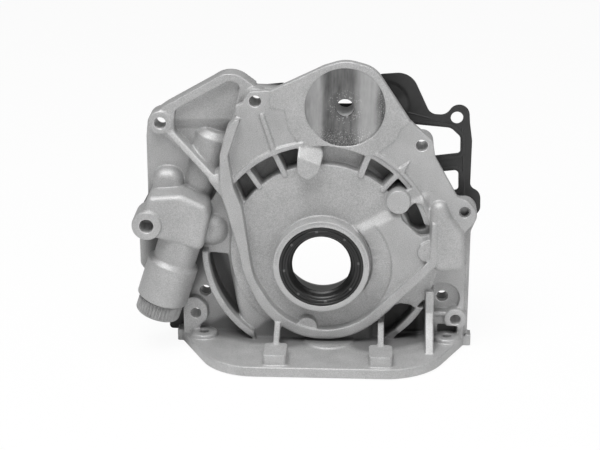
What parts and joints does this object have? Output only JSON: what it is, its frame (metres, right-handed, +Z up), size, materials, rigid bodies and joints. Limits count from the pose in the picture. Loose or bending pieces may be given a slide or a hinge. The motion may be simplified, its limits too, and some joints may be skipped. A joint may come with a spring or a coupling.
{
  "type": "engine oil pump",
  "caption": "Crankshaft-driven front-cover oil pump: ribbed aluminium casting with shaft seal, inner and outer rotor, sprung relief valve, sump flange and gasket.",
  "frame": {"origin": "crankshaft axis at the casting's gasket face", "axes": "+Z up, +Y along the crankshaft axis towards the engine block, so the pump's front faces -Y"},
  "size_m": [0.2691, 0.0875, 0.2339],
  "materials": {
    "cast_alloy": "fine-grained casting, machined on its faces",
    "seal_rubber": "satin",
    "seal_steel": "plain",
    "spring_steel": "plain",
    "rotor_steel": "sintered, ground",
    "cover_steel": "ground",
    "screw_steel": "plain",
    "valve_steel": "ground",
    "plug_alloy": "grooved",
    "gasket_black": "satin",
    "bead_rubber": "satin",
    "port_seal_rubber": "satin"
  },
  "bodies": {
    "housing": {"pump_housing": "cast_alloy", "seal_case": "seal_steel", "seal_rubber": "seal_rubber", "seal_garter_spring": "spring_steel", "rotor_cover": "cover_steel", "cover_screws": "screw_steel", "relief_spring": "spring_steel", "relief_spring_seat": "valve_steel", "relief_plug": "plug_alloy", "relief_plug_washer": "plug_alloy", "ear_plug": "screw_steel", "cross_gallery_plug": "screw_steel", "gasket_carrier": "gasket_black", "gasket_bead": "bead_rubber", "mounting_dowels": "screw_steel", "outlet_seal": "port_seal_rubber", "inlet_seal": "port_seal_rubber"},
    "outer_rotor": {"outer_rotor": "rotor_steel"},
    "inner_rotor": {"inner_rotor": "rotor_steel"},
    "relief_plunger": {"relief_plunger": "valve_steel"}
  },
  "joints": [
    {"name": "outer_rotor_spin", "type": "hinge", "parent": "housing", "child": "outer_rotor", "pos_m": [0.0024, 0, -0.0024], "axis": [0, 1, 0], "continuous": true},
    {"name": "inner_rotor_spin", "type": "hinge", "parent": "housing", "child": "inner_rotor", "pos_m": [0, 0, 0], "axis": [0, 1, 0], "continuous": true},
    {"name": "relief_slide", "type": "slide", "parent": "housing", "child": "relief_plunger", "axis": [-0.309, 0, -0.9511], "range_m": [0, 0.012], "stiffness_N_per_m": 5000, "springref_m": -0.016, "deforming": ["relief_spring"]}
  ],
  "couplings": [
    {"joint": "inner_rotor_spin", "follows": "outer_rotor_spin", "ratio": 1.1111}
  ]
}
